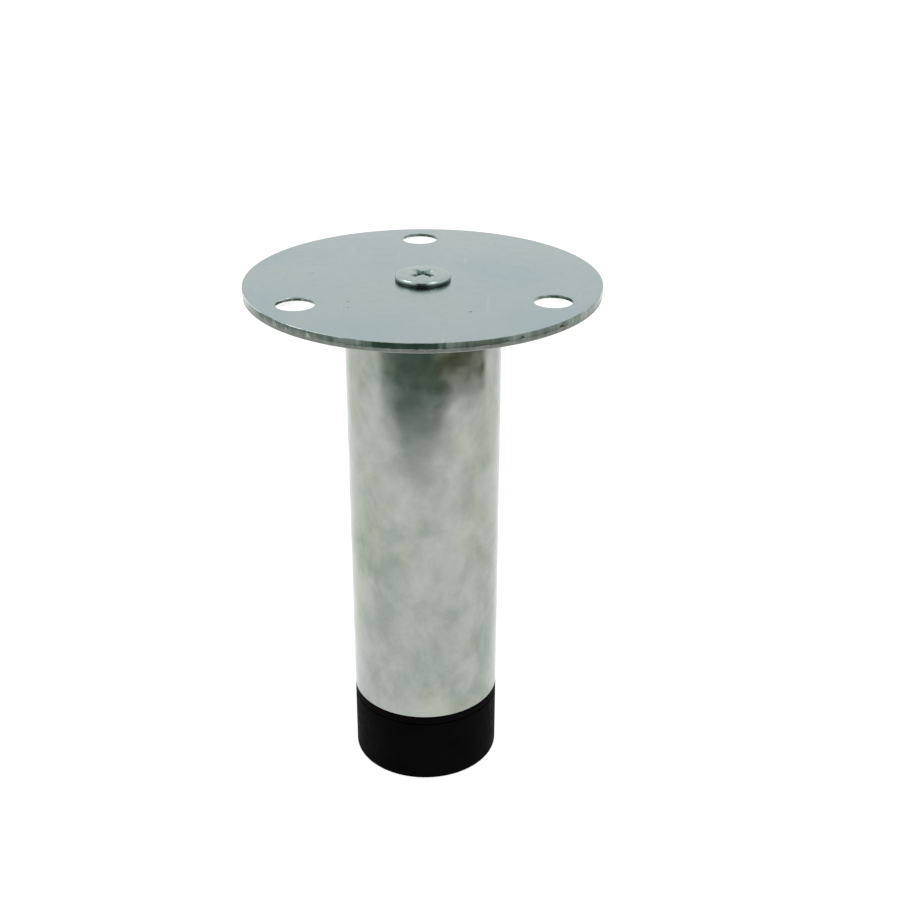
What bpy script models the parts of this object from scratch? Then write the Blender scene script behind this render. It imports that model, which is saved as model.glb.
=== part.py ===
"""Furniture leveling foot: a zinc-plated tube leg with a screwed mounting plate and a screw-in foot.

Frame: metres, +Z up, the origin on the floor under the leg's axis. The leg stands at its lowest setting.
Bodies: the leg (plate, tube and what is fixed in them), the glide (floor pad), which moves straight up
and down, and the foot (cup, levelling bolt and its nut), which turns on the glide about the leg's axis.
"""
import math

import bmesh
import bpy
from mathutils import Matrix, Vector

MM = 0.001
GAP = 0.3 * MM                       # left between neighbours that touch
PLATE_TOP = 140.0 * MM               # height of the whole leg under the furniture

PLATE_RADIUS = 45.0 * MM
PLATE_THICKNESS = 2.5 * MM
PLATE_EDGE = 0.25 * MM               # chamfer on the plate's rim
PLATE_HOLES = 3
PLATE_HOLE_RADIUS = 4.8 * MM
PLATE_HOLE_LAND = 0.8 * MM           # straight part of a hole; below it the hole is countersunk
PLATE_HOLE_PITCH_RADIUS = 35.6 * MM
PLATE_HOLE_START = math.radians(93.9)
SEAT_RADIUS = 7.3 * MM               # shallow seat pressed in the plate for the screw's head
SEAT_DEPTH = GAP

SCREW_HEAD_RADIUS = 7.0 * MM         # M6 low mushroom head
SCREW_HEAD_SIDE = 0.7 * MM
SCREW_HEAD_EDGE = 0.9 * MM           # rounding between its side and its crown
SCREW_HEAD_HEIGHT = 1.8 * MM
SCREW_LENGTH = 16.0 * MM
M6_SHANK_RADIUS = 2.7 * MM           # mean radius of the thread, which is drawn plain
M6_NUT_BORE_RADIUS = 3.0 * MM
M6_CLEARANCE_RADIUS = 3.3 * MM
M6_NUT_FLATS = 10.0 * MM
M6_NUT_HEIGHT = 5.0 * MM
RECESS_SPAN = 7.2 * MM               # cross recess, across its wings at the mouth
RECESS_WING = 1.7 * MM
RECESS_DEPTH = 2.0 * MM
RECESS_ANGLE = math.radians(45.0)

TUBE_RADIUS = 20.0 * MM
TUBE_WALL = 1.2 * MM
TUBE_BOTTOM = 21.2 * MM
END_DISC_THICKNESS = 3.0 * MM

FLANGE_THICKNESS = 2.0 * MM          # rim of the plastic insert under the tube's end
INSERT_HEIGHT = 30.0 * MM
INSERT_RIBS = 5
INSERT_RIB_DEPTH = 0.9 * MM
INSERT_RIB_THICKNESS = 0.8 * MM
COUNTERBORE_RADIUS = 10.6 * MM
COUNTERBORE_DEPTH = 6.0 * MM

STEM_RADIUS = 4.5 * MM               # M10 x 40 bolt, mean radius of the thread
STEM_LENGTH = 40.0 * MM
STEM_HEAD_HEIGHT = 6.4 * MM
M10_FLATS = 17.0 * MM
M10_NUT_BORE_RADIUS = 4.8 * MM
M10_NUT_HEIGHT = 8.0 * MM
M10_THIN_NUT_HEIGHT = 5.0 * MM
M10_CLEARANCE_RADIUS = 5.3 * MM

CUP_RADIUS = 20.0 * MM
CUP_WALL = 3.0 * MM
CUP_WEB = 3.0 * MM
CUP_EDGE = 0.5 * MM
CUP_BOSS_RADIUS = 12.6 * MM
CUP_RIBS = 6
CUP_RIB_THICKNESS = 1.8 * MM
CUP_RIM_BOTTOM = 0.5 * MM            # the pad stands this far proud of the cup
PAD_MOUTH_RADIUS = 17.8 * MM
PAD_GROOVE_RADIUS = 18.6 * MM
PAD_HEIGHT = 2.4 * MM

ROUND_STEPS = 96
INNER_STEPS = 48                     # for round shapes that stay out of sight
HOLE_STEPS = 32

ZINC = (0.62, 0.66, 0.65, 1.0)
BRIGHT_ZINC = (0.70, 0.73, 0.72, 1.0)
BLACK_NYLON = (0.012, 0.012, 0.013, 1.0)
BLACK_RUBBER = (0.018, 0.018, 0.018, 1.0)


def clear_scene():
    for obj in list(bpy.data.objects):
        bpy.data.objects.remove(obj, do_unlink=True)


def new_collection(name):
    collection = bpy.data.collections.new(name)
    bpy.context.scene.collection.children.link(collection)
    return collection


def material(name, colour, roughness, metallic):
    mat = bpy.data.materials.new(name)
    mat.use_nodes = True
    shader = mat.node_tree.nodes["Principled BSDF"]
    shader.inputs["Base Color"].default_value = colour
    shader.inputs["Roughness"].default_value = roughness
    shader.inputs["Metallic"].default_value = metallic
    mat.diffuse_color = colour
    return mat


def mesh_object(name, bm, collection):
    mesh = bpy.data.meshes.new(name)
    bm.to_mesh(mesh)
    bm.free()
    obj = bpy.data.objects.new(name, mesh)
    collection.objects.link(obj)
    return obj


def finish(obj, mat):
    obj.data.materials.append(mat)
    obj.data.shade_smooth()
    obj.data.set_sharp_from_angle(angle=math.radians(30))
    return obj


def turned(name, profile, collection, closed, steps=ROUND_STEPS):
    """A turned solid about Z. The profile's (radius, height) points run down the outer side."""
    bm = bmesh.new()
    verts = [bm.verts.new((r, 0.0, z)) for r, z in profile]
    for first, second in zip(verts, verts[1:]):
        bm.edges.new((first, second))
    if closed:
        bm.edges.new((verts[-1], verts[0]))
    obj = mesh_object(name, bm, collection)
    screw = obj.modifiers.new("turn", "SCREW")
    screw.axis = "Z"
    screw.angle = math.tau
    screw.steps = steps
    screw.render_steps = steps
    screw.use_merge_vertices = True
    screw.merge_threshold = 0.01 * MM
    screw.use_smooth_shade = True
    return obj


def upright_cone(name, bottom_radius, top_radius, bottom, top, sides, collection, centre=(0.0, 0.0)):
    bm = bmesh.new()
    place = Matrix.Translation((centre[0], centre[1], (bottom + top) / 2))
    bmesh.ops.create_cone(
        bm,
        cap_ends=True,
        segments=sides,
        radius1=bottom_radius,
        radius2=top_radius,
        depth=top - bottom,
        matrix=place,
    )
    return mesh_object(name, bm, collection)


def prism(name, radius, bottom, top, sides, collection, centre=(0.0, 0.0)):
    """An upright cylinder or hexagonal bar between two heights."""
    return upright_cone(name, radius, radius, bottom, top, sides, collection, centre)


def wedge_bar(name, mouth, floor, bottom, top, angle, collection):
    """A bar lying across the axis, (length, width) at its mouth and at its floor."""
    bm = bmesh.new()
    bmesh.ops.create_cube(bm, size=1.0)
    for vert in bm.verts:
        length, width = mouth if vert.co.z > 0 else floor
        vert.co = Vector((vert.co.x * length, vert.co.y * width, top if vert.co.z > 0 else bottom))
    bmesh.ops.rotate(bm, cent=(0, 0, 0), matrix=Matrix.Rotation(angle, 3, "Z"), verts=bm.verts)
    return mesh_object(name, bm, collection)


def guide(obj):
    obj.hide_render = True
    obj.display_type = "WIRE"
    return obj


def boolean(obj, other, operation):
    modifier = obj.modifiers.new(operation.lower() + " " + other.name, "BOOLEAN")
    modifier.object = guide(other)
    modifier.operation = operation
    modifier.solver = "EXACT"


def ring(outer, inner, bottom, top):
    """A plain ring's closed profile."""
    return [(outer, top), (outer, bottom), (inner, bottom), (inner, top)]


def hexagon_radius(flats):
    return flats / 2 / math.cos(math.pi / 6)


def chamfered_hexagon(name, flats, height, bottom, parts, cutters):
    """A hexagonal bar whose corners are turned off at 30 degrees, as on a nut or a bolt's head."""
    corner = hexagon_radius(flats)
    face = flats / 2 * 0.95
    reach = corner + 1.0 * MM
    drop = (reach - face) * math.tan(math.radians(30))
    over = 0.01 * MM
    obj = prism(name, corner, bottom, bottom + height, 6, parts)
    profile = [
        (0.0, bottom + height + over),
        (face, bottom + height + over),
        (reach, bottom + height + over - drop),
        (reach, bottom - over + drop),
        (face, bottom - over),
        (0.0, bottom - over),
    ]
    envelope = turned(name + "_envelope", profile, cutters, closed=False, steps=INNER_STEPS)
    boolean(obj, envelope, "INTERSECT")
    return obj


def nut(name, flats, height, bore_radius, bottom, parts, cutters):
    obj = chamfered_hexagon(name, flats, height, bottom, parts, cutters)
    bore = prism(name + "_bore", bore_radius, bottom - MM, bottom + height + MM, HOLE_STEPS, cutters)
    boolean(obj, bore, "DIFFERENCE")
    return obj


def build_mounting_plate(parts, cutters):
    top = PLATE_TOP
    bottom = PLATE_TOP - PLATE_THICKNESS
    profile = [
        (PLATE_RADIUS - PLATE_EDGE, top),
        (PLATE_RADIUS, top - PLATE_EDGE),
        (PLATE_RADIUS, bottom + PLATE_EDGE),
        (PLATE_RADIUS - PLATE_EDGE, bottom),
        (M6_CLEARANCE_RADIUS, bottom),
        (M6_CLEARANCE_RADIUS, top - SEAT_DEPTH),
        (SEAT_RADIUS, top - SEAT_DEPTH),
        (SEAT_RADIUS, top),
    ]
    plate = turned("mounting_plate", profile, parts, closed=True)
    sink_bottom = bottom - MM
    sink_top = top - PLATE_HOLE_LAND
    sink_radius = PLATE_HOLE_RADIUS + sink_top - sink_bottom      # its flank stands at 45 degrees
    for index in range(PLATE_HOLES):
        angle = PLATE_HOLE_START + index * math.tau / PLATE_HOLES
        centre = (PLATE_HOLE_PITCH_RADIUS * math.cos(angle), PLATE_HOLE_PITCH_RADIUS * math.sin(angle))
        radius = PLATE_HOLE_RADIUS
        name = "plate_hole_%d" % (index + 1)
        hole = prism(name, radius, bottom - MM, top + MM, HOLE_STEPS, cutters, centre)
        boolean(plate, hole, "DIFFERENCE")
        name = "countersink_%d" % (index + 1)
        sink = upright_cone(name, sink_radius, radius, sink_bottom, sink_top, HOLE_STEPS, cutters, centre)
        boolean(plate, sink, "DIFFERENCE")
    return plate


def build_centre_screw(parts, cutters):
    crown = PLATE_TOP + SCREW_HEAD_HEIGHT
    shoulder = PLATE_TOP + SCREW_HEAD_SIDE
    edge = SCREW_HEAD_EDGE
    flat = SCREW_HEAD_RADIUS - edge
    rise = SCREW_HEAD_HEIGHT - SCREW_HEAD_SIDE - edge
    dome = (flat**2 + rise**2) / (2 * rise)
    half_angle = math.asin(flat / dome)
    steps = 4
    profile = []
    for index in range(steps):
        angle = half_angle * index / steps
        profile.append((dome * math.sin(angle), crown - dome * (1 - math.cos(angle))))
    for index in range(steps + 1):
        angle = math.pi / 2 * (1 - index / steps)
        profile.append((flat + edge * math.cos(angle), shoulder + edge * math.sin(angle)))
    tip = PLATE_TOP - SCREW_LENGTH
    profile += [
        (SCREW_HEAD_RADIUS, PLATE_TOP),
        (M6_SHANK_RADIUS, PLATE_TOP),
        (M6_SHANK_RADIUS, tip + 0.6 * MM),
        (M6_SHANK_RADIUS - 0.6 * MM, tip),
        (0.0, tip),
    ]
    screw = turned("centre_screw", profile, parts, closed=False, steps=INNER_STEPS)
    mouth = (RECESS_SPAN, RECESS_WING)
    floor = (RECESS_SPAN * 0.45, RECESS_WING * 0.6)
    recess_floor = crown - RECESS_DEPTH
    for index in range(2):
        angle = RECESS_ANGLE + index * math.pi / 2
        name = "recess_wing_%d" % (index + 1)
        bottom = recess_floor - index * 0.02 * MM
        wing = wedge_bar(name, mouth, floor, bottom, crown + 0.2 * MM, angle, cutters)
        boolean(screw, wing, "DIFFERENCE")
    return screw


def build_leg_tube(parts):
    top = PLATE_TOP - PLATE_THICKNESS - GAP
    profile = ring(TUBE_RADIUS, TUBE_RADIUS - TUBE_WALL, TUBE_BOTTOM, top)
    return turned("leg_tube", profile, parts, closed=True)


def build_end_disc(parts):
    top = PLATE_TOP - PLATE_THICKNESS - GAP
    outer = TUBE_RADIUS - TUBE_WALL - GAP
    profile = ring(outer, M6_CLEARANCE_RADIUS, top - END_DISC_THICKNESS, top)
    return turned("end_disc", profile, parts, closed=True, steps=INNER_STEPS)


def build_weld_nut(parts, cutters):
    top = PLATE_TOP - PLATE_THICKNESS - GAP - END_DISC_THICKNESS - GAP
    bottom = top - M6_NUT_HEIGHT
    return nut("weld_nut", M6_NUT_FLATS, M6_NUT_HEIGHT, M6_NUT_BORE_RADIUS, bottom, parts, cutters)


def build_tube_insert(parts, cutters):
    flange_top = TUBE_BOTTOM - GAP
    flange_bottom = flange_top - FLANGE_THICKNESS
    top = flange_bottom + INSERT_HEIGHT
    rib = TUBE_RADIUS - TUBE_WALL - GAP
    core = rib - INSERT_RIB_DEPTH
    lead_in = 1.5 * MM
    profile = [(M10_CLEARANCE_RADIUS, top), (core - lead_in, top), (core, top - lead_in)]
    first_rib = top - 2 * lead_in
    pitch = (first_rib - flange_top) / INSERT_RIBS
    for index in range(INSERT_RIBS):
        start = first_rib - index * pitch
        ramp_end = start - INSERT_RIB_DEPTH
        foot = ramp_end - INSERT_RIB_THICKNESS
        profile += [(core, start), (rib, ramp_end), (rib, foot), (core, foot)]
    profile += [
        (core, flange_top),
        (TUBE_RADIUS, flange_top),
        (TUBE_RADIUS, flange_bottom),
        (COUNTERBORE_RADIUS, flange_bottom),
        (COUNTERBORE_RADIUS, flange_bottom + COUNTERBORE_DEPTH),
        (M10_CLEARANCE_RADIUS, flange_bottom + COUNTERBORE_DEPTH),
    ]
    insert = turned("tube_insert", profile, parts, closed=True, steps=INNER_STEPS)
    pocket_bottom = flange_bottom + COUNTERBORE_DEPTH - 0.5 * MM
    pocket_top = flange_bottom + COUNTERBORE_DEPTH + M10_NUT_HEIGHT + 2 * GAP
    radius = hexagon_radius(M10_FLATS + 2 * GAP)
    pocket = prism("insert_nut_pocket", radius, pocket_bottom, pocket_top, 6, cutters)
    boolean(insert, pocket, "DIFFERENCE")
    return insert


def build_insert_nut(parts, cutters):
    bottom = TUBE_BOTTOM - GAP - FLANGE_THICKNESS + COUNTERBORE_DEPTH + GAP
    return nut("insert_nut", M10_FLATS, M10_NUT_HEIGHT, M10_NUT_BORE_RADIUS, bottom, parts, cutters)


def cup_top():
    return TUBE_BOTTOM - GAP - FLANGE_THICKNESS - GAP


def head_top():
    """Height of the shoulder between the bolt's head and its shank."""
    return CUP_RIM_BOTTOM + PAD_HEIGHT + GAP + STEM_HEAD_HEIGHT


def build_foot_cup(parts, cutters):
    top = cup_top()
    rim = CUP_RIM_BOTTOM
    ledge = rim + PAD_HEIGHT - 0.2 * MM
    web = top - CUP_WEB
    wall = CUP_RADIUS - CUP_WALL
    profile = [
        (CUP_RADIUS - CUP_EDGE * 0.5, top),
        (CUP_RADIUS, top - CUP_EDGE * 0.5),
        (CUP_RADIUS, rim + CUP_EDGE),
        (CUP_RADIUS - CUP_EDGE * 0.3, rim + CUP_EDGE * 0.3),
        (CUP_RADIUS - CUP_EDGE, rim),
        (PAD_MOUTH_RADIUS, rim),
        (PAD_MOUTH_RADIUS, rim + 0.5 * MM),
        (PAD_GROOVE_RADIUS, rim + 0.9 * MM),
        (PAD_GROOVE_RADIUS, ledge),
        (wall, ledge),
        (wall, web),
        (CUP_BOSS_RADIUS, web),
        (CUP_BOSS_RADIUS, ledge),
        (M10_CLEARANCE_RADIUS, ledge),
        (M10_CLEARANCE_RADIUS, top),
    ]
    cup = turned("foot_cup", profile, parts, closed=True)
    length = wall - CUP_BOSS_RADIUS + 1.6 * MM
    for index in range(CUP_RIBS):
        angle = index * math.tau / CUP_RIBS
        middle = (wall + CUP_BOSS_RADIUS) / 2
        bm = bmesh.new()
        bmesh.ops.create_cube(bm, size=1.0)
        bottom = ledge + 0.8 * MM
        height = web + 0.8 * MM - bottom
        bmesh.ops.scale(bm, vec=(length, CUP_RIB_THICKNESS, height), verts=bm.verts)
        bmesh.ops.translate(bm, vec=(middle, 0.0, bottom + height / 2), verts=bm.verts)
        bmesh.ops.rotate(bm, cent=(0, 0, 0), matrix=Matrix.Rotation(angle, 3, "Z"), verts=bm.verts)
        rib = mesh_object("cup_rib_%d" % (index + 1), bm, cutters)
        boolean(cup, rib, "UNION")
    radius = hexagon_radius(M10_FLATS + 2 * GAP)
    pocket = prism("stem_head_pocket", radius, ledge - MM, head_top() + GAP, 6, cutters)
    boolean(cup, pocket, "DIFFERENCE")
    return cup


def build_stem(parts, cutters):
    shoulder = head_top()
    head_bottom = shoulder - STEM_HEAD_HEIGHT
    tip = shoulder + STEM_LENGTH
    stem = chamfered_hexagon("stem", M10_FLATS, STEM_HEAD_HEIGHT, head_bottom, parts, cutters)
    profile = [
        (0.0, tip),
        (STEM_RADIUS - 0.9 * MM, tip),
        (STEM_RADIUS, tip - 0.9 * MM),
        (STEM_RADIUS, shoulder - 2.0 * MM),
        (0.0, shoulder - 2.0 * MM),
    ]
    shank = turned("stem_shank", profile, cutters, closed=False, steps=INNER_STEPS)
    boolean(stem, shank, "UNION")
    return stem


def build_stem_nut(parts, cutters):
    bottom = cup_top() + GAP
    return nut("stem_nut", M10_FLATS, M10_THIN_NUT_HEIGHT, M10_NUT_BORE_RADIUS, bottom, parts, cutters)


def build_floor_pad(parts):
    body = PAD_MOUTH_RADIUS - GAP
    bead = PAD_GROOVE_RADIUS - GAP
    rim = CUP_RIM_BOTTOM
    top = rim + PAD_HEIGHT - 0.2 * MM - GAP
    profile = [
        (0.0, top),
        (bead - 0.3 * MM, top),
        (bead, top - 0.3 * MM),
        (bead, rim + 0.9 * MM + GAP),
        (body, rim + 0.5 * MM + GAP),
        (body, 0.4 * MM),
        (body - 0.4 * MM, 0.0),
        (0.0, 0.0),
    ]
    return turned("floor_pad", profile, parts, closed=False)


def joint_empty(name, parent, parts):
    empty = bpy.data.objects.new(name, None)
    empty.empty_display_size = 10.0 * MM
    parts.objects.link(empty)
    empty.parent = parent
    return empty


def build():
    clear_scene()
    parts = new_collection("furniture_leveling_foot")
    cutters = new_collection("cutters")

    zinc = material("zinc_plated_steel", ZINC, 0.38, 1.0)
    bright = material("bright_zinc", BRIGHT_ZINC, 0.28, 1.0)
    nylon = material("black_nylon", BLACK_NYLON, 0.5, 0.0)
    rubber = material("black_rubber", BLACK_RUBBER, 0.7, 0.0)

    leg = joint_empty("leg_body", None, parts)
    glide = joint_empty("glide_slide", leg, parts)
    foot = joint_empty("foot_turn_axis", glide, parts)

    pieces = [
        (build_mounting_plate(parts, cutters), zinc, leg),
        (build_centre_screw(parts, cutters), bright, leg),
        (build_leg_tube(parts), zinc, leg),
        (build_end_disc(parts), zinc, leg),
        (build_weld_nut(parts, cutters), bright, leg),
        (build_tube_insert(parts, cutters), nylon, leg),
        (build_insert_nut(parts, cutters), bright, leg),
        (build_floor_pad(parts), rubber, glide),
        (build_foot_cup(parts, cutters), nylon, foot),
        (build_stem(parts, cutters), bright, foot),
        (build_stem_nut(parts, cutters), bright, foot),
    ]
    for obj, mat, parent in pieces:
        finish(obj, mat)
        obj.parent = parent


build()
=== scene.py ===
import math

import bmesh
import bpy
from mathutils import Matrix, Vector, noise


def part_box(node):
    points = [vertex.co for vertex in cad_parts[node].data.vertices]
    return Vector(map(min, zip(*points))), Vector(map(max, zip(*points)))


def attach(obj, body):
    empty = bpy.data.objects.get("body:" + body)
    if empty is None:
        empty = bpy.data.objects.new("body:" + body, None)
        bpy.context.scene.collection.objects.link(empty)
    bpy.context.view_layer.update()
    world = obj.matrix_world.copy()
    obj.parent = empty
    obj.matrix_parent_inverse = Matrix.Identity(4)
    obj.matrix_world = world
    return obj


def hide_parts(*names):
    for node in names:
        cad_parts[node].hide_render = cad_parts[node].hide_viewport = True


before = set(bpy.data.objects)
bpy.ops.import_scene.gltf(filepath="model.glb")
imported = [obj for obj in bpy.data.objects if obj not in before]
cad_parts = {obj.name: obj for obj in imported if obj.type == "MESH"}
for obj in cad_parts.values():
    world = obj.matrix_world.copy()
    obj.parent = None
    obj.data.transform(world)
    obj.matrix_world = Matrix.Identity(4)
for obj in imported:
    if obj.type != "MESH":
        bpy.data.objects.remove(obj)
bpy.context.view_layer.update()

MM = 0.001
ROUND = 192         # steps round the visible turned pieces
RIM_STEPS = 720     # finer, so that the sheared rim can be uneven
CUTTER_STEPS = 96
HIDDEN_STEPS = 144
HEAD_STEPS = 128
THREAD_STEPS = 64
TAP_STEPS = 48
OVERLAP = 0.1 * MM  # how far a cutter reaches past the surface that it cuts
ON_AXIS = 1e-7      # a radius below this is a point on the axis

# The frame's own sizes, read once.
PLATE_LOW, PLATE_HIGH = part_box("mounting_plate")
TUBE_LOW, TUBE_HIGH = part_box("leg_tube")
SCREW_LOW, SCREW_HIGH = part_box("centre_screw")
INSERT_LOW, INSERT_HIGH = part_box("tube_insert")
INSERT_NUT_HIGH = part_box("insert_nut")[1]
CUP_LOW, CUP_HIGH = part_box("foot_cup")
STEM_LOW, STEM_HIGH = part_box("stem")
PAD_LOW, PAD_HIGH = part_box("floor_pad")

# Height where the plate's sheared rim goes over from burnished to torn.
BREAK_LINE = PLATE_LOW.z + 0.40 * (PLATE_HIGH.z - PLATE_LOW.z)

# Sizes that the frame's boxes don't give; they repeat the CAD's.
GAP = 0.3 * MM
PLATE_HOLES = 3
PLATE_HOLE_RADIUS = 4.8 * MM
PLATE_HOLE_LAND = 0.8 * MM
PLATE_HOLE_PITCH_RADIUS = 35.6 * MM
PLATE_HOLE_START = math.radians(93.9)
M6_CLEARANCE_RADIUS = 3.3 * MM
M6_FLATS = 10.0 * MM
M10_CLEARANCE_RADIUS = 5.3 * MM
M10_FLATS = 17.0 * MM
SCREW_HEAD_SIDE = 0.7 * MM
SCREW_HEAD_EDGE = 0.9 * MM
RECESS_DEPTH = 2.0 * MM
RECESS_ANGLE = math.radians(45.0)
TUBE_WALL = 1.2 * MM
FLANGE_THICKNESS = 2.0 * MM
COUNTERBORE_RADIUS = 10.6 * MM
COUNTERBORE_DEPTH = 6.0 * MM
STEM_HEAD_HEIGHT = 6.4 * MM

# Threads: minor radius, major radius, pitch. The tapped ones are the nuts'.
M6_THREAD = (2.35 * MM, 2.93 * MM, 1.0 * MM)
M6_TAPPED = (2.5 * MM, 3.03 * MM, 1.0 * MM)
M10_THREAD = (4.08 * MM, 4.92 * MM, 1.5 * MM)
M10_TAPPED = (4.2 * MM, 5.04 * MM, 1.5 * MM)
THREAD_ROOT = 0.20  # share of a pitch that the flat root takes
THREAD_CREST = 0.125

# The camera, in plate radii from the middle of the plate's top.
CAMERA_RIGHT = 0.347
CAMERA_BACK = 7.372
CAMERA_UP = 2.413
CAMERA_YAW = math.radians(1.10)
CAMERA_PITCH = math.radians(25.50)
CAMERA_ROLL = math.radians(0.28)
CAMERA_LENS = 54.28     # mm, on a sensor of this width
CAMERA_SENSOR = 36.0


# ---------------------------------------------------------------- mesh tools

def mesh_object(name, bm):
    mesh = bpy.data.meshes.new(name)
    bmesh.ops.recalc_face_normals(bm, faces=bm.faces)
    bm.to_mesh(mesh)
    bm.free()
    obj = bpy.data.objects.new(name, mesh)
    bpy.context.scene.collection.objects.link(obj)
    return obj


def smooth(obj, angle=35.0):
    obj.data.shade_smooth()
    obj.data.set_sharp_from_angle(angle=math.radians(angle))
    weighted = obj.modifiers.new("weighted_normals", "WEIGHTED_NORMAL")
    weighted.keep_sharp = True
    return obj


def fillet(corners, segments=4):
    """Rounds a 2D outline: each corner is (radius, height) or (radius, height, fillet)."""
    points = []
    count = len(corners)
    for index, corner in enumerate(corners):
        here = Vector(corner[:2])
        size = corner[2] if len(corner) > 2 else 0.0
        if size <= 0.0:
            points.append(tuple(here))
            continue
        before = (Vector(corners[index - 1][:2]) - here).normalized()
        after = (Vector(corners[(index + 1) % count][:2]) - here).normalized()
        half = before.angle(after) / 2
        reach = size / math.tan(half)
        centre = here + (before + after).normalized() * (size / math.sin(half))
        start = here + before * reach - centre
        end = here + after * reach - centre
        sweep = start.angle_signed(end)
        for step in range(segments + 1):
            turned_by = Matrix.Rotation(-sweep * step / segments, 2)
            points.append(tuple(centre + turned_by @ start))
    return points


def revolve_mesh(profile, steps, closed, centre=(0.0, 0.0)):
    """A turned surface about an upright axis. An open profile starts and ends on the axis."""
    bm = bmesh.new()
    rings = []
    for radius, height in profile:
        if radius < ON_AXIS:
            rings.append([bm.verts.new((centre[0], centre[1], height))])
            continue
        ring = []
        for step in range(steps):
            angle = math.tau * step / steps
            x = centre[0] + radius * math.cos(angle)
            y = centre[1] + radius * math.sin(angle)
            ring.append(bm.verts.new((x, y, height)))
        rings.append(ring)
    pairs = list(zip(rings, rings[1:]))
    if closed:
        pairs.append((rings[-1], rings[0]))
    for upper, lower in pairs:
        for step in range(steps):
            after = (step + 1) % steps
            if len(upper) == 1:
                bm.faces.new((upper[0], lower[step], lower[after]))
            elif len(lower) == 1:
                bm.faces.new((upper[step], lower[0], upper[after]))
            else:
                bm.faces.new((upper[step], lower[step], lower[after], upper[after]))
    return bm


def turned(name, profile, steps=ROUND, closed=True, centre=(0.0, 0.0)):
    return mesh_object(name, revolve_mesh(profile, steps, closed, centre))


def upright_cone(name, bottom_radius, top_radius, bottom, top, sides):
    bm = bmesh.new()
    bmesh.ops.create_cone(
        bm,
        cap_ends=True,
        segments=sides,
        radius1=bottom_radius,
        radius2=top_radius,
        depth=top - bottom,
        matrix=Matrix.Translation((0.0, 0.0, (bottom + top) / 2)),
    )
    return mesh_object(name, bm)


def prism(name, radius, bottom, top, sides):
    return upright_cone(name, radius, radius, bottom, top, sides)


def block(name, size, centre, turn):
    """A box turned about the leg's axis."""
    bm = bmesh.new()
    bmesh.ops.create_cube(bm, size=1.0)
    bmesh.ops.scale(bm, vec=size, verts=bm.verts)
    bmesh.ops.translate(bm, vec=centre, verts=bm.verts)
    bmesh.ops.rotate(bm, cent=(0, 0, 0), matrix=Matrix.Rotation(turn, 3, "Z"), verts=bm.verts)
    return mesh_object(name, bm)


def wedge_bar(name, mouth, floor, bottom, top, turn):
    """A bar across the axis, (length, width) at its mouth and at its floor."""
    bar = block(name, (1.0, 1.0, 1.0), (0.0, 0.0, 0.0), 0.0)
    for vert in bar.data.vertices:
        above = vert.co.z > 0
        length, width = mouth if above else floor
        vert.co = Vector((vert.co.x * length, vert.co.y * width, top if above else bottom))
    bar.data.transform(Matrix.Rotation(turn, 4, "Z"))
    return bar


def combine(obj, tool, operation):
    """Cuts or joins with the EXACT solver and keeps the result as the object's mesh."""
    modifier = obj.modifiers.new("combine", "BOOLEAN")
    modifier.operation = operation
    modifier.solver = "EXACT"
    modifier.object = tool
    evaluated = obj.evaluated_get(bpy.context.evaluated_depsgraph_get())
    mesh = bpy.data.meshes.new_from_object(evaluated)
    obj.modifiers.clear()
    obj.data = mesh
    bpy.data.objects.remove(tool, do_unlink=True)
    return obj


def thread_radius(turns, minor, major):
    """Radius of a 60 degree thread after some turns: flat root, flank, flat crest, flank."""
    share = turns - math.floor(turns)
    flank = (1.0 - THREAD_ROOT - THREAD_CREST) / 2
    if share < THREAD_ROOT:
        return minor
    if share < THREAD_ROOT + flank:
        return minor + (major - minor) * (share - THREAD_ROOT) / flank
    if share < THREAD_ROOT + flank + THREAD_CREST:
        return major
    return major - (major - minor) * (share - THREAD_ROOT - flank - THREAD_CREST) / flank


def threaded_rod(name, thread, bottom, top, runout, steps=THREAD_STEPS):
    """A right-hand threaded rod with closed ends. Its thread fades out over runout, a length
    for the bottom end and one for the top."""
    minor, major, pitch = thread
    rows_per_pitch = 12
    bm = bmesh.new()
    rows = int(math.ceil((top - bottom) / pitch * rows_per_pitch))
    rings = []
    for row in range(rows + 1):
        height = bottom + (top - bottom) * row / rows
        fade = min(1.0, (height - bottom) / runout[0] if runout[0] else 1.0)
        fade = min(fade, (top - height) / runout[1] if runout[1] else 1.0)
        ring = []
        for step in range(steps):
            angle = math.tau * step / steps
            full = thread_radius(height / pitch - angle / math.tau, minor, major)
            radius = minor + (full - minor) * fade
            x = radius * math.cos(angle)
            y = radius * math.sin(angle)
            ring.append(bm.verts.new((x, y, height)))
        rings.append(ring)
    for lower, upper in zip(rings, rings[1:]):
        for step in range(steps):
            after = (step + 1) % steps
            bm.faces.new((lower[step], lower[after], upper[after], upper[step]))
    bm.faces.new(list(reversed(rings[0])))
    bm.faces.new(rings[-1])
    return mesh_object(name, bm)


def hexagon_radius(flats):
    return flats / 2 / math.cos(math.pi / 6)


def chamfered_hexagon(name, flats, bottom, top):
    """A hexagonal bar with its corners turned off at 30 degrees."""
    corner = hexagon_radius(flats)
    face_share = 0.95
    face = flats / 2 * face_share
    reach = corner + MM
    drop = (reach - face) * math.tan(math.radians(30))
    over = 0.01 * MM
    obj = prism(name, corner, bottom, top, 6)
    profile = [
        (0.0, top + over),
        (face, top + over),
        (reach, top + over - drop),
        (reach, bottom - over + drop),
        (face, bottom - over),
        (0.0, bottom - over),
    ]
    envelope = turned(name + "_envelope", profile, CUTTER_STEPS, closed=False)
    return combine(obj, envelope, "INTERSECT")


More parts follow.
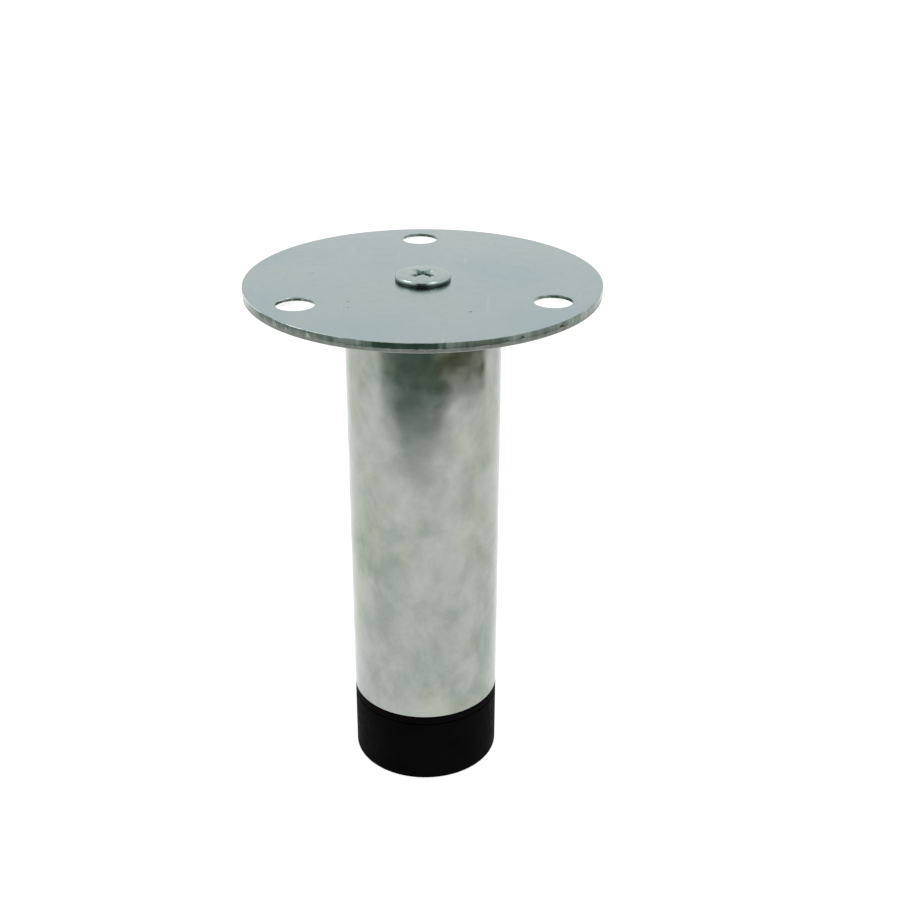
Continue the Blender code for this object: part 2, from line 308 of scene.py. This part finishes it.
def threaded_nut(name, flats, bottom, top, thread):
    """A chamfered hexagon nut, tapped, with a cone at each mouth of the thread."""
    obj = chamfered_hexagon(name, flats, bottom, top)
    no_runout = (0.0, 0.0)
    tap = threaded_rod(name + "_tap", thread, bottom - MM, top + MM, no_runout, TAP_STEPS)
    combine(obj, tap, "DIFFERENCE")
    minor, major, _ = thread
    mouth = 0.6 * MM
    wide = major + 0.3 * MM
    lower = upright_cone("lower_mouth", wide, minor, bottom - OVERLAP, bottom + mouth, TAP_STEPS)
    combine(obj, lower, "DIFFERENCE")
    upper = upright_cone("upper_mouth", minor, wide, top - mouth, top + OVERLAP, TAP_STEPS)
    return combine(obj, upper, "DIFFERENCE")


# ---------------------------------------------------------------- material tools

NOISE_SPAN = (0.3, 0.7)     # most of a noise's values lie between these


class Surface:
    """A Principled material whose varying inputs come from nodes in object space."""

    def __init__(self, name, metallic, **constants):
        self.material = bpy.data.materials.new(name)
        self.material.use_nodes = True
        self.tree = self.material.node_tree
        self.shader = self.tree.nodes["Principled BSDF"]
        self.shader.inputs["Metallic"].default_value = metallic
        for key, value in constants.items():
            self.shader.inputs[key.replace("_", " ")].default_value = value
        self.position = self.tree.nodes.new("ShaderNodeTexCoord").outputs["Object"]

    def node(self, kind, **links):
        made = self.tree.nodes.new(kind)
        for name, output in links.items():
            self.tree.links.new(output, made.inputs[name])
        return made

    def stretched(self, scale):
        mapping = self.node("ShaderNodeMapping", Vector=self.position)
        mapping.inputs["Scale"].default_value = scale
        return mapping.outputs["Vector"]

    def noise(self, scale, detail=3.0, roughness=0.5, stretch=(1.0, 1.0, 1.0), distortion=0.0):
        made = self.node("ShaderNodeTexNoise", Vector=self.stretched(stretch))
        made.inputs["Scale"].default_value = scale
        made.inputs["Detail"].default_value = detail
        made.inputs["Roughness"].default_value = roughness
        made.inputs["Distortion"].default_value = distortion
        return made.outputs["Fac"]

    def cells(self, scale):
        made = self.node("ShaderNodeTexVoronoi", Vector=self.position)
        made.inputs["Scale"].default_value = scale
        return made.outputs["Distance"]

    def coordinate(self, axis):
        return self.node("ShaderNodeSeparateXYZ", Vector=self.position).outputs[axis]

    def math(self, operation, *values):
        made = self.tree.nodes.new("ShaderNodeMath")
        made.operation = operation
        for socket, value in zip(made.inputs, values):
            if isinstance(value, float):
                socket.default_value = value
            else:
                self.tree.links.new(value, socket)
        return made.outputs["Value"]

    def from_axis(self):
        """Distance from the leg's axis."""
        across = self.math("POWER", self.coordinate("X"), 2.0)
        along = self.math("POWER", self.coordinate("Y"), 2.0)
        return self.math("SQRT", self.math("ADD", across, along))

    def ramp(self, factor, stops):
        made = self.node("ShaderNodeValToRGB", Fac=factor)
        ramp = made.color_ramp
        while len(ramp.elements) < len(stops):
            ramp.elements.new(0.5)
        for element, (position, colour) in zip(ramp.elements, stops):
            element.position = position
            element.color = (*colour, 1.0)
        return made.outputs["Color"]

    def remap(self, factor, low, high, to_low, to_high):
        made = self.node("ShaderNodeMapRange", Value=factor)
        made.interpolation_type = "SMOOTHSTEP"
        made.inputs["From Min"].default_value = low
        made.inputs["From Max"].default_value = high
        made.inputs["To Min"].default_value = to_low
        made.inputs["To Max"].default_value = to_high
        return made.outputs["Result"]

    def mix(self, factor, first, second):
        """Second is another colour output or a fixed colour."""
        made = self.tree.nodes.new("ShaderNodeMix")
        made.data_type = "RGBA"
        sockets = {socket.identifier: socket for socket in made.inputs}
        self.tree.links.new(factor, sockets["Factor_Float"])
        self.tree.links.new(first, sockets["A_Color"])
        if isinstance(second, tuple):
            sockets["B_Color"].default_value = (*second, 1.0)
        else:
            self.tree.links.new(second, sockets["B_Color"])
        return next(socket for socket in made.outputs if socket.identifier == "Result_Color")

    def two_tone(self, scale, dark, light):
        low, high = NOISE_SPAN
        return self.ramp(self.noise(scale), [(low, dark), (high, light)])

    def set(self, socket, output):
        self.tree.links.new(output, self.shader.inputs[socket])

    def roughness(self, smoothest, roughest, scale, detail=3.0):
        uneven = self.noise(scale, detail=detail)
        self.set("Roughness", self.remap(uneven, *NOISE_SPAN, smoothest, roughest))

    def bump(self, *layers):
        """Each layer is (height output, depth in metres); the coarse ones come first."""
        normal = None
        for height, depth in layers:
            made = self.node("ShaderNodeBump", Height=height)
            made.inputs["Strength"].default_value = 1.0
            made.inputs["Distance"].default_value = depth
            if normal is not None:
                self.tree.links.new(normal, made.inputs["Normal"])
            normal = made.outputs["Normal"]
        self.set("Normal", normal)


def plate_zinc():
    """Smooth plated sheet: faint clouds, hairline scratches and a few pinhole pits."""
    s = Surface("plate_zinc", 1.0)
    base = s.ramp(s.noise(34.0), [
        (0.36, (0.318, 0.402, 0.412)),
        (0.50, (0.340, 0.414, 0.414)),
        (0.64, (0.358, 0.422, 0.404)),
    ])
    hairlines = s.noise(900.0, detail=2.0, stretch=(1.0, 0.04, 1.0))
    scratches = s.remap(hairlines, 0.66, 0.74, 0.0, 0.35)
    base = s.mix(scratches, base, (0.44, 0.50, 0.49))
    rare = s.remap(s.noise(70.0, detail=1.0), 0.67, 0.70, 0.0, 0.8)
    pits = s.math("MULTIPLY", s.remap(s.cells(190.0), 0.06, 0.10, 1.0, 0.0), rare)
    s.set("Base Color", s.mix(pits, base, (0.12, 0.13, 0.13)))
    s.roughness(0.17, 0.25, 420.0, detail=4.0)
    s.bump((s.noise(60.0, detail=1.0), 0.04 * MM), (s.noise(1500.0, detail=2.0), 0.0012 * MM))
    return s.material


def plate_edge():
    """Sheared rim: burnished band with drag marks, torn band under it, a worn top corner whose
    pale patches are also a painted glint, and a bottom burr painted lighter as a highlight."""
    s = Surface("plate_edge", 1.0)
    drag = s.noise(520.0, detail=4.0, roughness=0.65, stretch=(1.0, 1.0, 0.10))
    stain = s.noise(110.0, detail=2.0, stretch=(1.0, 1.0, 0.35))
    smooth_band = s.ramp(drag, [
        (0.32, (0.13, 0.17, 0.15)),
        (0.50, (0.22, 0.27, 0.24)),
        (0.68, (0.34, 0.40, 0.37)),
    ])
    smooth_band = s.mix(s.remap(stain, 0.50, 0.66, 0.0, 0.6), smooth_band, (0.12, 0.16, 0.13))
    torn_band = s.ramp(drag, [(0.3, (0.13, 0.145, 0.125)), (0.7, (0.23, 0.25, 0.22))])
    height = s.coordinate("Z")
    bottom = PLATE_LOW.z
    top = PLATE_HIGH.z
    break_low = BREAK_LINE - 0.2 * MM
    break_high = BREAK_LINE + 0.2 * MM
    torn = s.remap(height, break_low, break_high, 1.0, 0.0)
    base = s.mix(torn, smooth_band, torn_band)
    # painted highlight: pale patches along the top corner are worn edge and also a painted glint
    # of the lamps
    corner = s.remap(height, top - 0.22 * MM, top - 0.1 * MM, 0.0, 1.0)
    worn = s.remap(s.noise(28.0, detail=5.0, roughness=0.7), 0.46, 0.58, 0.0, 1.0)
    wear_and_painted_glint = s.math("MULTIPLY", corner, worn)
    # painted highlight: the bottom edge of the burr is painted lighter, in place of the floor's
    # reflection there
    burr_painted_highlight = s.remap(height, bottom + 0.1 * MM, bottom + 0.2 * MM, 0.7, 0.0)
    base = s.mix(burr_painted_highlight, base, (0.36, 0.39, 0.36))
    s.set("Base Color", s.mix(wear_and_painted_glint, base, (0.90, 0.93, 0.92)))
    s.set("Roughness", s.remap(height, break_low, break_high, 0.38, 0.13))
    s.bump((drag, 0.03 * MM), (s.noise(2500.0, detail=2.0), 0.004 * MM))
    return s.material


def hole_steel():
    """Cut flank of the countersinks, bare steel painted far brighter than steel: a painted
    highlight.
    """
    s = Surface("hole_steel", 1.0)
    turned_lines = s.noise(900.0, stretch=(0.3, 0.3, 4.0))
    # painted highlight: the flank is given a near-white colour, brighter than bare steel
    painted_bright_flank = s.ramp(turned_lines, [(0.3, (0.80, 0.82, 0.81)), (0.7, (0.93, 0.95, 0.94))])
    s.set("Base Color", painted_bright_flank)
    s.roughness(0.22, 0.34, 300.0)
    s.bump((turned_lines, 0.006 * MM))
    return s.material


def tube_zinc():
    """Plated tube: greenish and bluish patches, a slightly wavy surface, faint drawn lines."""
    s = Surface("tube_zinc", 1.0)
    patches = s.noise(85.0, detail=6.0, roughness=0.62, stretch=(1.0, 1.0, 0.8), distortion=0.2)
    hue = s.noise(38.0, detail=3.0, stretch=(1.0, 1.0, 0.7))
    cool = s.ramp(patches, [
        (0.36, (0.275, 0.315, 0.285)),
        (0.50, (0.340, 0.378, 0.345)),
        (0.64, (0.390, 0.425, 0.395)),
    ])
    warm = s.ramp(patches, [
        (0.36, (0.255, 0.302, 0.240)),
        (0.50, (0.330, 0.370, 0.312)),
        (0.64, (0.385, 0.415, 0.362)),
    ])
    s.set("Base Color", s.mix(s.remap(hue, 0.44, 0.56, 0.0, 1.0), cool, warm))
    s.roughness(0.11, 0.22, 150.0, detail=4.0)
    drawn = s.noise(700.0, stretch=(1.0, 1.0, 0.05))
    waves = s.noise(85.0, detail=1.0)
    s.bump((waves, 0.09 * MM), (drawn, 0.004 * MM), (s.noise(1200.0), 0.0015 * MM))
    return s.material


def screw_zinc():
    """Bright crown; the side of the head is painted dark near its foot: painted shade and a
    painted dark reflection.
    """
    s = Surface("screw_zinc", 1.0)
    crown = s.two_tone(420.0, (0.35, 0.425, 0.405), (0.40, 0.475, 0.45))
    foot = PLATE_HIGH.z
    # painted shade: the head's side is darkened up to about 1.15 mm above its foot, in place of
    # contact shade and a dark reflection
    painted_dark_band = s.remap(s.coordinate("Z"), foot + 0.35 * MM, foot + 1.15 * MM, 0.92, 0.0)
    s.set("Base Color", s.mix(painted_dark_band, crown, (0.030, 0.045, 0.035)))
    s.roughness(0.20, 0.32, 800.0)
    s.bump((s.noise(350.0, detail=2.0), 0.03 * MM), (s.noise(2200.0), 0.002 * MM))
    return s.material


def hardware_steel():
    """Plated fasteners."""
    s = Surface("hardware_steel", 1.0)
    s.set("Base Color", s.two_tone(300.0, (0.42, 0.43, 0.41), (0.54, 0.55, 0.52)))
    s.roughness(0.24, 0.38, 700.0)
    s.bump((s.noise(500.0), 0.01 * MM), (s.noise(2000.0), 0.003 * MM))
    return s.material


def black_nylon():
    """Moulded matt plastic with a fine grain."""
    s = Surface("black_nylon", 0.0, IOR=1.05)
    s.set("Base Color", s.two_tone(120.0, (0.0014, 0.0014, 0.0014), (0.0024, 0.0024, 0.0023)))
    s.roughness(0.46, 0.60, 600.0, detail=4.0)
    s.bump((s.noise(2600.0, detail=2.0), 0.006 * MM))
    return s.material


def black_rubber():
    """Duller than the nylon, with a coarser grain."""
    s = Surface("black_rubber", 0.0, IOR=1.1)
    s.set("Base Color", s.two_tone(200.0, (0.005, 0.005, 0.005), (0.009, 0.009, 0.009)))
    s.roughness(0.70, 0.85, 500.0)
    s.bump((s.noise(1800.0), 0.01 * MM))
    return s.material


# ---------------------------------------------------------------- pieces

def uneven_rim(plate):
    """The punch leaves a nibbled top edge and a break line that wanders up and down."""
    rim = PLATE_HIGH.x - 0.3 * MM
    top_edge = PLATE_HIGH.z - 0.25 * MM
    coarse, fine, slow = 95.0, 260.0, 40.0  # noise scales round the rim
    worn = 0.03 * MM
    nibble = 0.05 * MM
    break_width = 0.15 * MM
    wander = 0.22 * MM
    for vert in plate.data.vertices:
        out = Vector((vert.co.x, vert.co.y, 0.0))
        if out.length < rim:
            continue
        along = out.normalized()
        if vert.co.z > top_edge:
            bite = noise.noise(along * coarse) * 0.6 + noise.noise(along * fine) * 0.4
            vert.co -= along * (worn + nibble * bite)
        elif abs(vert.co.z - BREAK_LINE) < break_width:
            vert.co.z += noise.noise(along * slow) * wander


def make_plate():
    """Blanked sheet: rolled top edge, burnished band, broken-out lower band, countersunk holes."""
    top = PLATE_HIGH.z
    bottom = PLATE_LOW.z
    radius = PLATE_HIGH.x
    bore = M6_CLEARANCE_RADIUS
    edge = 0.1 * MM
    corners = [
        (radius, top, 0.16 * MM),
        (radius, BREAK_LINE + 0.04 * MM),
        (radius - 0.02 * MM, BREAK_LINE - 0.04 * MM),
        (radius - 0.16 * MM, bottom, 0.06 * MM),
        (bore, bottom, edge),
        (bore, top, edge),
    ]
    plate = turned("plate_sheet", fillet(corners), RIM_STEPS)
    uneven_rim(plate)
    hole = PLATE_HOLE_RADIUS
    sink_top = top - PLATE_HOLE_LAND
    below = bottom - MM
    profile = [(0.0, top + MM), (hole + edge, top + MM)]
    for step in range(5):
        turn = math.pi / 2 * step / 4
        profile.append((hole + edge * (1 - math.sin(turn)), top - edge * (1 - math.cos(turn))))
    profile += [(hole, sink_top), (hole + sink_top - below, below), (0.0, below)]
    for index in range(PLATE_HOLES):
        angle = PLATE_HOLE_START + index * math.tau / PLATE_HOLES
        x = PLATE_HOLE_PITCH_RADIUS * math.cos(angle)
        y = PLATE_HOLE_PITCH_RADIUS * math.sin(angle)
        cutter = turned("plate_hole", profile, CUTTER_STEPS, closed=False, centre=(x, y))
        combine(plate, cutter, "DIFFERENCE")
    return plate


def paint_rim(plate, edge_metal, hole_metal):
    """Gives the sheared rim and the walls of the holes their own finishes."""
    plate.data.materials.append(edge_metal)
    plate.data.materials.append(hole_metal)
    edge_slot, hole_slot = 1, 2
    flat_normal = 0.75
    land = PLATE_HIGH.z - PLATE_HOLE_LAND
    for face in plate.data.polygons:
        if abs(face.normal.z) > flat_normal:
            continue
        in_hole = Vector(face.center[:2]).length < PLATE_HIGH.x - MM
        face.material_index = hole_slot if in_hole and face.center.z < land else edge_slot


def make_screw():
    """Low mushroom head with a cross recess, on an M6 threaded shank."""
    radius = SCREW_HIGH.x
    seat = PLATE_HIGH.z
    crown = SCREW_HIGH.z
    flat = radius - SCREW_HEAD_EDGE
    shoulder = seat + SCREW_HEAD_SIDE
    rise = crown - shoulder - SCREW_HEAD_EDGE
    dome = (flat**2 + rise**2) / (2 * rise)
    half_angle = math.asin(flat / dome)
    dome_steps = 12
    edge_steps = 8
    profile = []
    for step in range(dome_steps):
        angle = half_angle * step / dome_steps
        profile.append((dome * math.sin(angle), crown - dome * (1 - math.cos(angle))))
    for step in range(edge_steps + 1):
        angle = math.pi / 2 * (1 - step / edge_steps)
        across = flat + SCREW_HEAD_EDGE * math.cos(angle)
        profile.append((across, shoulder + SCREW_HEAD_EDGE * math.sin(angle)))
    under = seat + 0.02 * MM
    neck_end = seat - 0.6 * MM
    profile += [
        (radius, under + 0.12 * MM),
        (radius - 0.04 * MM, under + 0.04 * MM),
        (radius - 0.12 * MM, under),
        (2.9 * MM, under),
        (2.3 * MM, neck_end),
        (0.0, neck_end),
    ]
    screw = turned("cross_recess_screw", profile, HEAD_STEPS, closed=False)
    runout = (1.0 * MM, 1.5 * MM)
    shank = threaded_rod("m6_shank", M6_THREAD, SCREW_LOW.z, seat - 0.2 * MM, runout)
    combine(screw, shank, "UNION")
    wing_mouth = (7.2 * MM, 1.9 * MM)
    wing_floor = (3.1 * MM, 1.0 * MM)
    lip_mouth = (7.7 * MM, 2.5 * MM)
    lip_floor = (6.7 * MM, 1.6 * MM)
    floor = crown - RECESS_DEPTH
    over = crown + OVERLAP
    lip = crown - 0.22 * MM
    for index in range(2):
        turn = RECESS_ANGLE + index * math.pi / 2
        deep = floor - 0.02 * index * MM  # so that no two cuts share a plane
        combine(screw, wedge_bar("wing", wing_mouth, wing_floor, deep, over, turn), "DIFFERENCE")
        combine(screw, wedge_bar("wing_lip", lip_mouth, lip_floor, lip, over, turn), "DIFFERENCE")
    core = upright_cone("recess_core", 0.7 * MM, 1.55 * MM, floor - 0.06 * MM, over, 32)
    return combine(screw, core, "DIFFERENCE")


def make_tube():
    """Plain tube with both ends deburred."""
    outer = TUBE_HIGH.x
    inner = outer - TUBE_WALL
    edge = 0.2 * MM
    profile = fillet([
        (outer, TUBE_HIGH.z, edge),
        (outer, TUBE_LOW.z, edge),
        (inner, TUBE_LOW.z, edge),
        (inner, TUBE_HIGH.z, edge),
    ])
    return turned("tube_wall", profile)


def make_insert():
    """Nylon plug: a flange under the tube's end, ramped ribs that grip its bore and a pocket
    for the M10 nut."""
    rib = TUBE_HIGH.x - TUBE_WALL - GAP
    rib_depth = 0.9 * MM
    rib_crest = 0.8 * MM
    core = rib - rib_depth
    top = INSERT_HIGH.z
    bottom = INSERT_LOW.z
    flange_top = bottom + FLANGE_THICKNESS
    roof = bottom + COUNTERBORE_DEPTH
    lead_in = 1.5 * MM
    edge = 0.1 * MM
    ribs = 5
    first_rib = top - 2 * lead_in
    pitch = (first_rib - flange_top) / ribs
    corners = [
        (M10_CLEARANCE_RADIUS, top, 0.3 * MM),
        (core - lead_in, top, 0.2 * MM),
        (core, top - lead_in, 0.2 * MM),
    ]
    for index in range(ribs):
        start = first_rib - index * pitch
        corners += [
            (core, start, edge),
            (rib, start - rib_depth, edge),
            (rib, start - rib_depth - rib_crest, edge),
            (core, start - rib_depth - rib_crest, edge),
        ]
    corners += [
        (core, flange_top, edge),
        (INSERT_HIGH.x, flange_top, 0.15 * MM),
        (INSERT_HIGH.x, bottom, 0.15 * MM),
        (COUNTERBORE_RADIUS, bottom, 0.4 * MM),
        (COUNTERBORE_RADIUS, roof),
        (M10_CLEARANCE_RADIUS, roof),
    ]
    insert = turned("insert_plug", fillet(corners, 3), HIDDEN_STEPS)
    pocket_radius = hexagon_radius(M10_FLATS + 2 * GAP)
    pocket = prism("nut_pocket", pocket_radius, roof - 0.5 * MM, INSERT_NUT_HIGH.z + GAP, 6)
    return combine(insert, pocket, "DIFFERENCE")


def make_cup():
    """Turning foot: smooth outside, hollow and ribbed inside, a grooved mouth for the pad."""
    radius = CUP_HIGH.x
    rim = CUP_LOW.z
    top = CUP_HIGH.z
    ledge = rim + 2.2 * MM
    web = top - 3.0 * MM
    wall = radius - 3.0 * MM
    boss = 12.6 * MM
    mouth = 17.8 * MM
    groove = 18.6 * MM
    profile = fillet([
        (radius, top, 0.15 * MM),
        (radius, rim, 0.5 * MM),
        (mouth, rim, 0.2 * MM),
        (mouth, rim + 0.5 * MM),
        (groove, rim + 0.9 * MM),
        (groove, ledge),
        (wall, ledge, 0.2 * MM),
        (wall, web, 0.6 * MM),
        (boss, web, 0.6 * MM),
        (boss, ledge, 0.2 * MM),
        (M10_CLEARANCE_RADIUS, ledge),
        (M10_CLEARANCE_RADIUS, top, 0.3 * MM),
    ], 5)
    cup = turned("cup_shell", profile)
    sunk = 0.8 * MM  # how far each rib runs into the walls round it
    length = wall - boss + 2 * sunk
    bottom = ledge + 0.8 * MM
    height = web + sunk - bottom
    size = (length, 1.8 * MM, height)
    middle = ((wall + boss) / 2, 0.0, bottom + height / 2)
    ribs = 6
    for index in range(ribs):
        combine(cup, block("cup_rib", size, middle, index * math.tau / ribs), "UNION")
    pocket_radius = hexagon_radius(M10_FLATS + 2 * GAP)
    head_top = STEM_LOW.z + STEM_HEAD_HEIGHT
    pocket = prism("head_pocket", pocket_radius, ledge - MM, head_top + GAP, 6)
    return combine(cup, pocket, "DIFFERENCE")


def make_stem():
    """M10 x 1.5 bolt, threaded for its whole length."""
    shoulder = STEM_LOW.z + STEM_HEAD_HEIGHT
    stem = chamfered_hexagon("stem_bolt", M10_FLATS, STEM_LOW.z, shoulder)
    runout = (3.0 * MM, 1.5 * MM)
    rod = threaded_rod("m10_rod", M10_THREAD, shoulder - 1.5 * MM, STEM_HIGH.z, runout)
    return combine(stem, rod, "UNION")


def make_pad():
    """Rubber glide: a disc that snaps into the cup's groove with its bead."""
    rim = CUP_LOW.z
    mouth = 17.5 * MM
    bead = PAD_HIGH.x
    profile = fillet([
        (0.0, PAD_HIGH.z),
        (bead, PAD_HIGH.z, 0.3 * MM),
        (bead, rim + 1.2 * MM, 0.15 * MM),
        (mouth, rim + 0.8 * MM),
        (mouth, PAD_LOW.z, 0.4 * MM),
        (0.0, PAD_LOW.z),
    ])
    return turned("rubber_glide", profile, HIDDEN_STEPS, closed=False)


def place(piece, body, node, material):
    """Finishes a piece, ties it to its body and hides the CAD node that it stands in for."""
    piece.data.materials.clear()
    piece.data.materials.append(material)
    smooth(piece)
    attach(piece, body)
    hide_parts(node)


def place_nut(name, body, node, flats, thread, metal):
    low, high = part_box(node)
    nut = threaded_nut(name, flats, low.z, high.z, thread)
    place(nut, body, node, metal)


def build_object():
    tube_metal = tube_zinc()
    steel = hardware_steel()
    nylon = black_nylon()
    plate = make_plate()
    place(plate, "leg", "mounting_plate", plate_zinc())
    paint_rim(plate, plate_edge(), hole_steel())
    place(make_screw(), "leg", "centre_screw", screw_zinc())
    place(make_tube(), "leg", "leg_tube", tube_metal)
    place(make_insert(), "leg", "tube_insert", nylon)
    place_nut("weld_hex_nut", "leg", "weld_nut", M6_FLATS, M6_TAPPED, steel)
    place_nut("insert_hex_nut", "leg", "insert_nut", M10_FLATS, M10_TAPPED, steel)
    place(make_cup(), "foot", "foot_cup", nylon)
    place(make_stem(), "foot", "stem", steel)
    place_nut("stem_thin_nut", "foot", "stem_nut", M10_FLATS, M10_TAPPED, steel)
    place(make_pad(), "glide", "floor_pad", black_rubber())
    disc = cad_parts["end_disc"]
    disc.data.materials.clear()
    disc.data.materials.append(tube_metal)


# ---------------------------------------------------------------- studio

FULL_WIDTH = (0.0, 0.001)   # a floor sheet that has its full width from the axis on
LAYER_SPACING = 0.5 * MM


def floor_material():
    """Bright white sheet, lit through from below as on a light table."""
    s = Surface("paper_floor", 0.0, IOR=1.05, Emission_Strength=0.88)
    s.set("Base Color", s.two_tone(6.0, (0.24, 0.24, 0.24), (0.25, 0.25, 0.25)))
    s.roughness(0.85, 0.95, 30.0)
    s.shader.inputs["Emission Color"].default_value = (1.0, 1.0, 1.0, 1.0)
    return s.material


def flag_surface(name, tone):
    """Matt dark card for the studio."""
    s = Surface(name, 0.0, IOR=1.05)
    s.shader.inputs["Base Color"].default_value = (*tone, 1.0)
    s.roughness(0.85, 0.95, 30.0)
    return s


def only_in_reflections(obj):
    obj.visible_camera = False
    obj.visible_diffuse = False
    obj.visible_shadow = False
    obj.visible_transmission = False


def floor_flag(name, layer, sector, fade, tone, widens=FULL_WIDTH):
    """Dark sheet lying in front of the object, seen only in its reflections.
    layer is its place in the stack, so that no two sheets lie in one plane.
    sector is its azimuth, half angle and soft edge in degrees. Azimuths run from the front (-Y)
    towards +X. The half angle grows from nothing to its full size between the distances in widens.
    fade lists (distance from the axis in metres, how much of the floor the sheet hides)."""
    azimuth, half_angle, soft_angle = (math.radians(degrees) for degrees in sector)
    near = fade[0][0]
    far = 1.2
    steps = 48
    reach = half_angle + soft_angle
    lift = Vector((0.0, 0.0, LAYER_SPACING * layer))
    bm = bmesh.new()
    rows = []
    for step in range(steps + 1):
        angle = azimuth - reach + 2 * reach * step / steps
        out = Vector((math.sin(angle), -math.cos(angle), 0.0))
        rows.append((bm.verts.new(out * near + lift), bm.verts.new(out * far + lift)))
    for first, second in zip(rows, rows[1:]):
        bm.faces.new((first[0], first[1], second[1], second[0]))
    flag = mesh_object(name, bm)
    s = flag_surface(name, tone)
    span = fade[-1][0]
    reached = s.math("DIVIDE", s.from_axis(), span)
    cover = s.ramp(reached, [(distance / span, (share,) * 3) for distance, share in fade])
    ahead = s.math("MULTIPLY", s.coordinate("Y"), -1.0)
    bearing = s.math("ARCTAN2", s.coordinate("X"), ahead)
    off_centre = s.math("ABSOLUTE", s.math("SUBTRACT", bearing, azimuth))
    edge = s.remap(s.from_axis(), *widens, 0.0, half_angle)
    side = s.remap(s.math("SUBTRACT", off_centre, edge), -soft_angle, soft_angle, 1.0, 0.0)
    s.set("Alpha", s.math("MULTIPLY", cover, side))
    flag.data.materials.append(s.material)
    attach(flag, "glide")
    only_in_reflections(flag)


def upright_flag(name, azimuth, distance, width, low, high):
    """Dark card standing in front of the object, as the camera and its stand do."""
    bm = bmesh.new()
    bmesh.ops.create_grid(bm, x_segments=1, y_segments=1, size=0.5)
    flag = mesh_object(name, bm)
    flag.matrix_world = (
        Matrix.Rotation(azimuth, 4, "Z")
        @ Matrix.Translation((0.0, -distance, (low + high) / 2))
        @ Matrix.Rotation(math.pi / 2, 4, "X")
        @ Matrix.Diagonal((width, high - low, 1.0, 1.0))
    )
    flag.data.materials.append(flag_surface(name, (0.01, 0.01, 0.01)).material)
    only_in_reflections(flag)


def build_stage():
    bm = bmesh.new()
    bmesh.ops.create_grid(bm, x_segments=1, y_segments=1, size=6.0)
    floor = mesh_object("studio_floor", bm)
    floor.location.z = PAD_LOW.z
    floor.data.materials.append(floor_material())
    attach(floor, "glide")  # the pad stands on the floor however far the foot is turned out

    green = (0.032, 0.082, 0.042)
    olive = (0.08, 0.08, 0.04)
    grey = (0.05, 0.06, 0.05)
    near_fade = [
        (0.185, 0.0),
        (0.23, 0.44),
        (0.27, 0.78),
        (0.31, 0.95),
        (0.39, 0.95),
        (0.45, 0.30),
    ]
    far_fade = [(0.37, 0.0), (0.42, 0.90), (0.50, 0.94)]
    right_fade = [(0.286, 0.0), (0.300, 0.95), (0.39, 0.97), (0.44, 0.35)]
    left_fade = [(0.38, 0.0), (0.46, 0.60), (0.60, 0.75)]
    floor_flag("near_flag", 1, (-4, 58, 9), near_fade, green, widens=(0.165, 0.33))
    floor_flag("far_flag", 2, (-9, 23, 6), far_fade, green)
    floor_flag("right_flag", 3, (61, 41, 7), right_fade, olive)
    floor_flag("left_flag", 4, (-82, 34, 8), left_fade, grey)
    upright_flag("camera_flag", math.radians(-4), 0.36, width=0.30, low=0.15, high=0.46)

    world = bpy.data.worlds.new("studio")
    world.use_nodes = True
    background = world.node_tree.nodes["Background"]
    background.inputs["Color"].default_value = (0.985, 0.99, 1.0, 1.0)
    background.inputs["Strength"].default_value = 0.98
    bpy.context.scene.world = world


def softbox(name, spot, size, power):
    """Square lamp aimed at the middle of the plate."""
    light = bpy.data.lights.new(name, "AREA")
    light.shape = "RECTANGLE"
    light.size = size
    light.size_y = size
    light.energy = power
    lamp = bpy.data.objects.new(name, light)
    lamp.location = spot
    target = Vector((0.0, 0.0, PLATE_HIGH.z))
    lamp.rotation_euler = (target - Vector(spot)).to_track_quat("-Z", "Y").to_euler()
    bpy.context.scene.collection.objects.link(lamp)


def build_lights():
    softbox("left_softbox", (-0.85, -0.05, 1.0), size=0.5, power=2.6)
    softbox("right_softbox", (0.70, -0.50, 1.0), size=0.4, power=1.5)


def build_camera():
    data = bpy.data.cameras.new("camera")
    data.lens = CAMERA_LENS
    data.sensor_width = CAMERA_SENSOR
    data.clip_start = 0.01
    camera = bpy.data.objects.new("camera", data)
    radius = PLATE_HIGH.x
    spot = (CAMERA_RIGHT * radius, -CAMERA_BACK * radius, PLATE_HIGH.z + CAMERA_UP * radius)
    yaw = Matrix.Rotation(CAMERA_YAW, 4, "Z")
    pitch = Matrix.Rotation(math.pi / 2 - CAMERA_PITCH, 4, "X")
    roll = Matrix.Rotation(CAMERA_ROLL, 4, "Z")
    camera.matrix_world = Matrix.Translation(spot) @ yaw @ pitch @ roll
    bpy.context.scene.collection.objects.link(camera)
    bpy.context.scene.camera = camera


build_object()
build_stage()
build_lights()
build_camera()
bpy.context.scene.view_settings.view_transform = "Standard"
